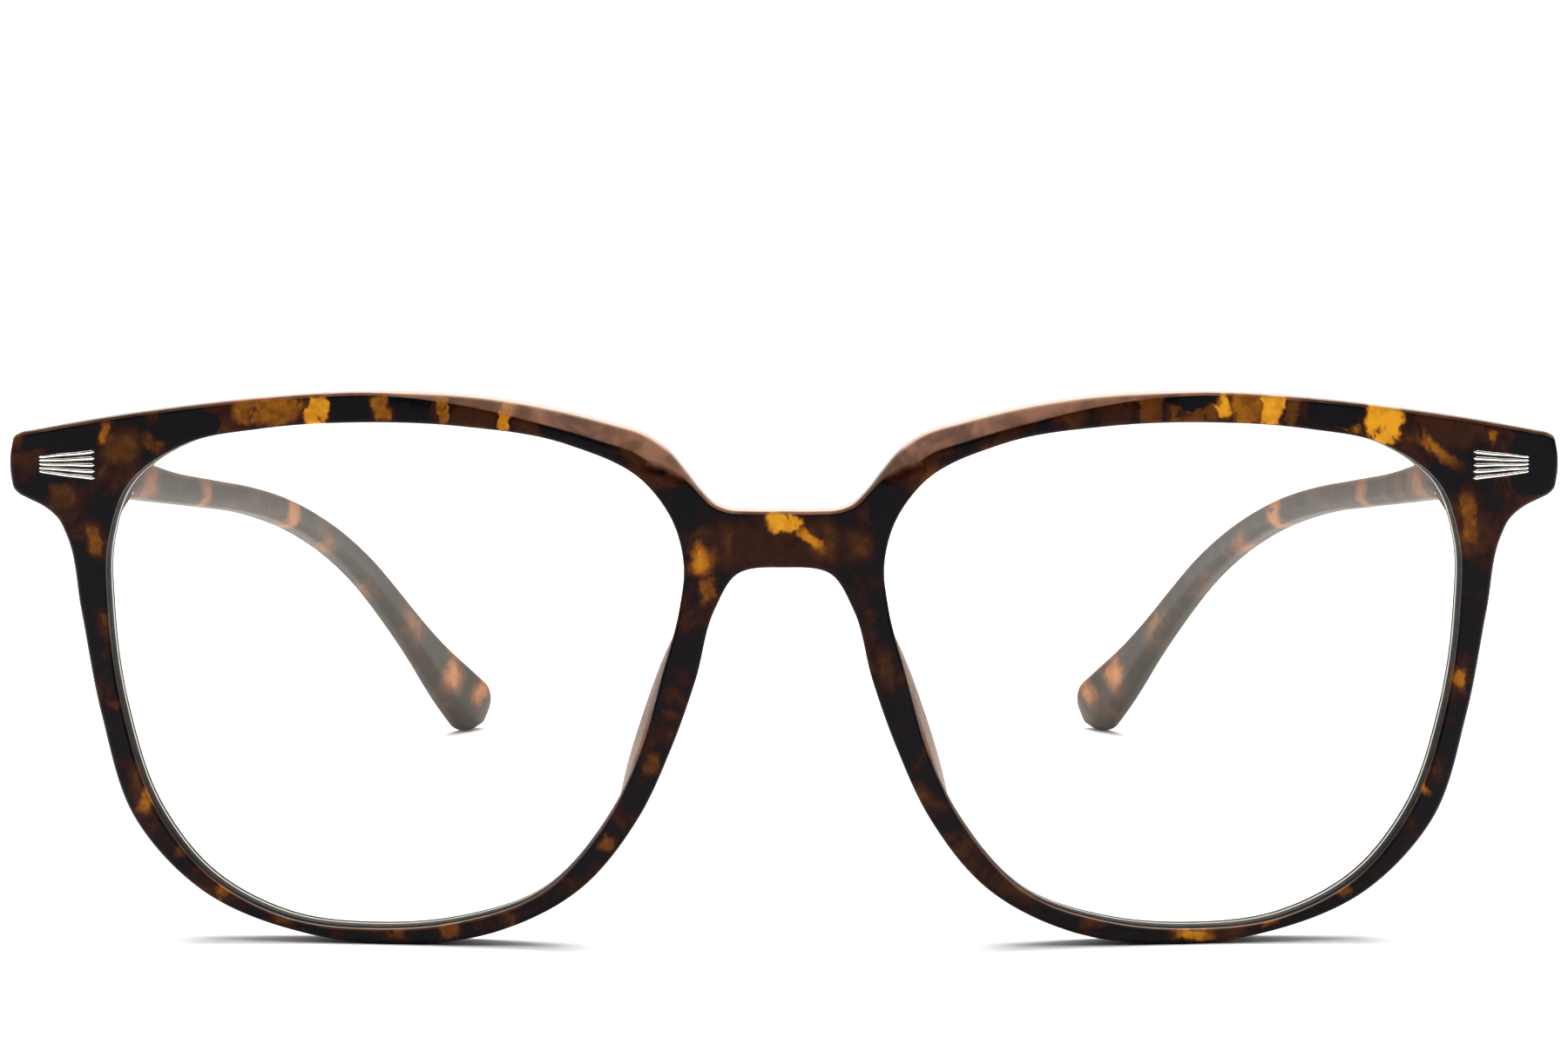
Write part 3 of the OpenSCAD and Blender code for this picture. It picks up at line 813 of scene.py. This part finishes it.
def temple_section(height, thickness):
    """Section of a temple: flat faces, soft corners, a bevel along the lower inner side"""
    h, t = height / 2, thickness / 2
    bevel = min(0.26 * height, 0.42 * thickness)
    outer = min(0.8, 0.32 * height, 0.3 * thickness)
    soft = min(0.9, 0.25 * height, 0.3 * thickness)
    return rounded_outline([
        (-t, h, soft), (t, h, outer), (t, -h, outer), (-t + bevel, -h, soft), (-t, -h + bevel, soft),
    ])


def make_temple(side, flip, material):
    """A temple from its cut end at the hinge to its rounded drop tip"""
    stations = smooth_curve(TEMPLE_STATIONS, False, TEMPLE_SPACING)
    middle_x = TEMPLE_INNER + stations[:, 3] / 2 - stations[:, 4]
    sections = []
    for i, (s, z, height, thickness, _) in enumerate(stations):
        if s > TEMPLE_START:
            before, after = stations[max(i - 1, 0)], stations[min(i + 1, len(stations) - 1)]
            way = np.array([after[0] - before[0], after[1] - before[1]])
            sections.append((s, z, height, thickness, way / np.linalg.norm(way)))
    rings = [temple_ring(*q, stations[:, 0], middle_x) for q in sections]
    s, z, height, thickness, way = sections[-1]
    for turn in np.linspace(*TIP_TURNS):
        along = height / 2 * math.sin(math.radians(turn))
        small = math.cos(math.radians(turn))
        at = (s + way[0] * along, z + way[1] * along)
        rings.append(temple_ring(*at, height * small, thickness * small**TIP_POWER, way,
                                 stations[:, 0], middle_x))
    rings = cut_end(rings)
    points, faces = loft(rings)
    points = other_side(points) if flip else points
    name = f"temple_arm_{side}"
    body = f"{side}_temple"
    made = add_piece(name, points, faces, body, [material], crease=40)
    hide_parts(f"temple_{side}")


def temple_ring(s, z, height, thickness, way, along, middle_x):
    """A section of a temple, square to its way, bent inward along with its middle line"""
    section = temple_section(height, thickness)
    places = s - section[:, 1] * way[1]
    slope = (middle_x[-1] - middle_x[-4]) / (along[-1] - along[-4])
    beyond = np.maximum(places - along[-1], 0) * slope
    x = section[:, 0] + np.interp(places, along, middle_x) + beyond
    return temple_place(x, places, z + section[:, 1] * way[0])


def cut_end(rings):
    """Ends the temple on the plane behind the end piece, with a small rounded edge"""
    first = rings[0]
    kept = [ring for ring in rings if ring[:, 1].min() > TEMPLE_CUT + CUT_CLEAR]
    middle = first.mean(0)
    ends = []
    for inset, back in CUT_EDGE:
        way = first - middle
        reach = np.linalg.norm(way[:, [0, 2]], axis=1)[:, None]
        ring = first - way / reach * inset
        ring[:, 1] = TEMPLE_CUT + CUT_GAP + back
        ends.append(ring)
    return ends + kept


# ---- Metal trim ----
PLAQUE_X = 67.1
PLAQUE_Z = 44.7
PLAQUE_LENGTH = 5.6
PLAQUE_WIDE = 3.1
PLAQUE_NARROW = 1.7
RIDGES = 5
RIDGE_STATIONS = 25
RIDGE_SIDES = 20
RIDGE_GAP = 0.1
RIDGE_FILL = 0.36
RIDGE_RELIEF = 1.25
# Ridges end in domes of this length and never get thinner than this share, squared.
RIDGE_DOME = 0.3
RIDGE_LEAST = 0.02
# Slight wander of a ridge as (reach, radians along it, radians from one ridge to the next).
RIDGE_WAVE = (0.015, 9, 2.1)
# Bed under the ridges as (y, inset), from its buried back to its face.
BED_STEPS = ((0.45, 0.0), (0.02, 0.0), (-0.03, 0.05))


def on_face(points):
    """From the plaque's own plane to the curved face at the end piece"""
    angle = math.asin(PLAQUE_X / FACE_RADIUS)
    turn = Matrix.Rotation(angle, 3, "Z")
    moved = np.array(points) @ np.array(turn).T
    return moved + (PLAQUE_X, sag(PLAQUE_X), PLAQUE_Z)


def ridge(index):
    """A half-round bar from the wide inner end to the narrow outer end, with domed ends"""
    place = (index + 0.5) / RIDGES - 0.5
    wander, turns, shift = RIDGE_WAVE
    angles = np.linspace(0, 2 * math.pi, RIDGE_SIDES, endpoint=False)
    rings = []
    for k in np.linspace(0, 1, RIDGE_STATIONS):
        x = (k - 0.5) * (PLAQUE_LENGTH - RIDGE_GAP)
        width = PLAQUE_WIDE + (PLAQUE_NARROW - PLAQUE_WIDE) * k
        end = min(k, 1 - k) * PLAQUE_LENGTH
        dome = math.sqrt(max(1 - max(1 - end / RIDGE_DOME, 0) ** 2, RIDGE_LEAST))
        half = width / RIDGES * RIDGE_FILL * dome
        wave = wander * math.sin(turns * k + shift * index)
        rings.append(np.stack([np.full(RIDGE_SIDES, x), -half * RIDGE_RELIEF * np.sin(angles),
                               place * width + wave + half * np.cos(angles)], 1))
    return loft(rings)


def plaque_bed():
    """Thin bed under the ridges"""
    rings = []
    for y, inset in BED_STEPS:
        half = PLAQUE_LENGTH / 2 - inset
        wide = PLAQUE_WIDE / 2 - inset
        narrow = PLAQUE_NARROW / 2 - inset
        rings.append(np.array([(-half, y, -wide), (half, y, -narrow), (half, y, narrow),
                               (-half, y, wide)]))
    return loft(rings)


def make_plaque(side, flip, bright, gap_shade_bed):
    """The fan inlaid in an end piece: bright ridges on a bed coloured dark as painted shade in the
    gaps between them
    """
    parts = [plaque_bed()] + [ridge(i) for i in range(RIDGES)]
    points, faces = joined(parts)
    choice = [1] * len(parts[0][1]) + [0] * (len(faces) - len(parts[0][1]))
    points = on_face(points)
    points = other_side(points) if flip else points
    name = f"fan_inlay_{side}"
    made = add_piece(name, points, faces, "front", [bright, gap_shade_bed], choice, crease=40)
    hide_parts(f"fan_plaque_{side}")


def dress(node, material):
    """Gives a CAD node its material"""
    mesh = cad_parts[node].data
    mesh.materials.clear()
    mesh.materials.append(material)


# Rivets stand at these distances along the temple, on a line that falls towards its tip.
RIVET_PLACES = (2.4, 5.4)
RIVET_Z = 43.4
RIVET_FALL = 0.14
RIVET_SIDES = 32
# Profiles as (distance outward, radius): the pin from the inner face, the head from the outside.
PIN_PROFILE = ((-0.02, 0.2), (-0.02, 0.46), (0.5, 0.5))
HEAD_PROFILE = ((-0.2, 0.5), (-0.1, 0.8), (0.02, 0.8), (0.1, 0.68), (0.15, 0.42), (0.17, 0.15))


def make_rivets(side, flip, material):
    """Temple rivets: pins with low domed heads on the outside of the temple"""
    stations = smooth_curve(TEMPLE_STATIONS, False, TEMPLE_SPACING)
    angles = np.linspace(0, 2 * math.pi, RIVET_SIDES, endpoint=False)
    parts = []
    for s in RIVET_PLACES:
        z = RIVET_Z - RIVET_FALL * s
        outside = TEMPLE_INNER + np.interp(s, stations[:, 0], stations[:, 3])
        profile = [(INNER_FACE + x, r) for x, r in PIN_PROFILE]
        profile += [(outside + x, r) for x, r in HEAD_PROFILE]
        rings = []
        for x, r in profile:
            level = np.full(RIVET_SIDES, x)
            rings.append(temple_place(level, s + r * np.cos(angles), z + r * np.sin(angles)))
        parts.append(loft(rings))
    points, faces = joined(parts)
    points = other_side(points) if flip else points
    name = f"rivet_heads_{side}"
    made = add_piece(name, points, faces, f"{side}_temple", [material], crease=35)
    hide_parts(f"temple_rivets_{side}")


# ---- Studio ----
CAMERA_BACK = 280.0
CAMERA_HEIGHT = 62.7
CAMERA_PITCH = math.radians(4.69)
CAMERA_LENS = 70.2255
CAMERA_SENSOR = 36.0
CAMERA_CLIP = (0.01, 20.0)
FLOOR_HALF = 3.0
SUN_POWER = 3.0
SUN_ANGLE = math.radians(60)
SUN_TILT = math.radians(-14)
# Area lights as (name, place, aim, size, power), in metres and watts.
AREA_LIGHTS = [
    ("overhead", (0, 0.25, 0.9), (0, 0, 0.03), (1.2, 0.5), 8),
    ("left_side", (-0.9, -0.1, 0.5), (0, 0, 0.02), (0.4, 0.6), 2),
    ("right_side", (0.9, -0.1, 0.5), (0, 0, 0.02), (0.4, 0.6), 2),
]


def make_camera():
    data = bpy.data.cameras.new("camera")
    data.sensor_width = CAMERA_SENSOR
    data.lens = CAMERA_LENS
    data.clip_start, data.clip_end = CAMERA_CLIP
    made = bpy.data.objects.new("camera", data)
    made.location = (0, (FRONT_Y - CAMERA_BACK) * MM, CAMERA_HEIGHT * MM)
    made.rotation_euler = (math.pi / 2 - CAMERA_PITCH, 0, 0)
    bpy.context.scene.collection.objects.link(made)
    bpy.context.scene.camera = made


def make_floor(material):
    mesh = bpy.data.meshes.new("floor")
    corners = [(FLOOR_HALF * x, FLOOR_HALF * y, 0) for x, y in ((-1, -1), (1, -1), (1, 1), (-1, 1))]
    mesh.from_pydata(corners, [], [(0, 1, 2, 3)])
    mesh.materials.append(material)
    made = bpy.data.objects.new("floor", mesh)
    bpy.context.scene.collection.objects.link(made)


def make_world():
    """White surroundings, dimmer towards the side that the front faces"""
    world = bpy.data.worlds.new("studio")
    world.use_nodes = True
    tree = world.node_tree
    tree.nodes.clear()
    way = add(tree, "TexCoord", {}).outputs["Generated"]
    parts = add(tree, "SeparateXYZ", {0: way})
    behind = spread(tree, parts.outputs[1], -0.45, 0.25, 0.06, 1.0)
    camera = add(tree, "LightPath", {}).outputs["Is Camera Ray"]
    strength = maths(tree, "MAXIMUM", behind, camera)
    background = add(tree, "Background", {"Color": (1, 1, 1, 1), "Strength": strength})
    add(tree, "OutputWorld", {"Surface": background.outputs[0]})
    bpy.context.scene.world = world


def add_light(name, place, aim, size, power):
    data = bpy.data.lights.new(name, "AREA")
    data.shape = "RECTANGLE"
    data.size, data.size_y = size
    data.energy = power
    made = bpy.data.objects.new(name, data)
    made.location = place
    made.rotation_euler = (Vector(aim) - Vector(place)).to_track_quat("-Z", "Y").to_euler()
    bpy.context.scene.collection.objects.link(made)


def make_lights():
    sun = bpy.data.lights.new("soft_top", "SUN")
    sun.energy = SUN_POWER
    sun.angle = SUN_ANGLE
    made = bpy.data.objects.new("soft_top", sun)
    made.rotation_euler = (SUN_TILT, 0, 0)
    bpy.context.scene.collection.objects.link(made)
    for light in AREA_LIGHTS:
        add_light(*light)


# ---- Building ----
def build():
    make_camera()
    make_world()
    make_lights()
    make_floor(floor_material())
    bpy.context.scene.view_settings.view_transform = "Standard"

    glossy = shell_material(
        "front_tortoiseshell", FRONT_PATCHES, FRONT_DARK, 0, SHELL_STOPS, (0.08, 0.18), 1.49,
        (0.12, 0.12, 0.13, 1),
        # tints, strength and lowest height of the painted highlight on the up-facing bevel and edges
        ("7d6658", "cfae9a", 0.8, 30),
    )
    satin = shell_material(
        "temple_tortoiseshell", TEMPLE_PATCHES, [], 1, TEMPLE_STOPS, (0.42, 0.52), 1.36,
        (0.8, 0.7, 0.6, 1),
        # tints, strength and lowest height of the painted highlight on the temple's up-facing edges
        ("6e5a4c", "a08c7c", 0.6, -10),
    )
    wall = shell_material(
        "rim_wall", [], [], 0, SHELL_STOPS, (0.45, 0.6), 1.12, (0.5, 0.5, 0.5, 1),
    )
    pads = pad_material()
    steel = metal_material("hinge_steel", "c4c2bf", "8f8c88", 0.28, 5.0)
    nickel = metal_material("plaque_nickel", "f4f1ea", "d6d2ca", 0.16, 4.0)
    # Dark bed between the ridges: painted shade and painted reflection in the gaps
    painted_gap_shade = metal_material("plaque_bed", "2a2624", "151312", 0.4, 4.0)
    clear = lens_material()
    ground = lens_edge_material("lens_ground_edge", "a8a296", "cdc7bb")
    # Dark copy of the ground edge: painted reflection of the dark rim in the lens edge
    painted_rim_reflection = lens_edge_material("lens_edge_painted_rim_reflection", "1e2426", "363e42")

    make_front(glossy, wall)
    for side, flip in (("left", False), ("right", True)):
        make_lens(side, flip, clear, ground, painted_rim_reflection)
        make_pad(side, flip, pads)
        make_temple(side, flip, satin)
        make_plaque(side, flip, nickel, painted_gap_shade)
        make_rivets(side, flip, nickel)
        for steel_node in ("front_rivets", "front_hinge", "temple_hinge", "core_wire"):
            dress(f"{steel_node}_{side}", steel)
        dress(f"hinge_screw_{side}", nickel)


build()
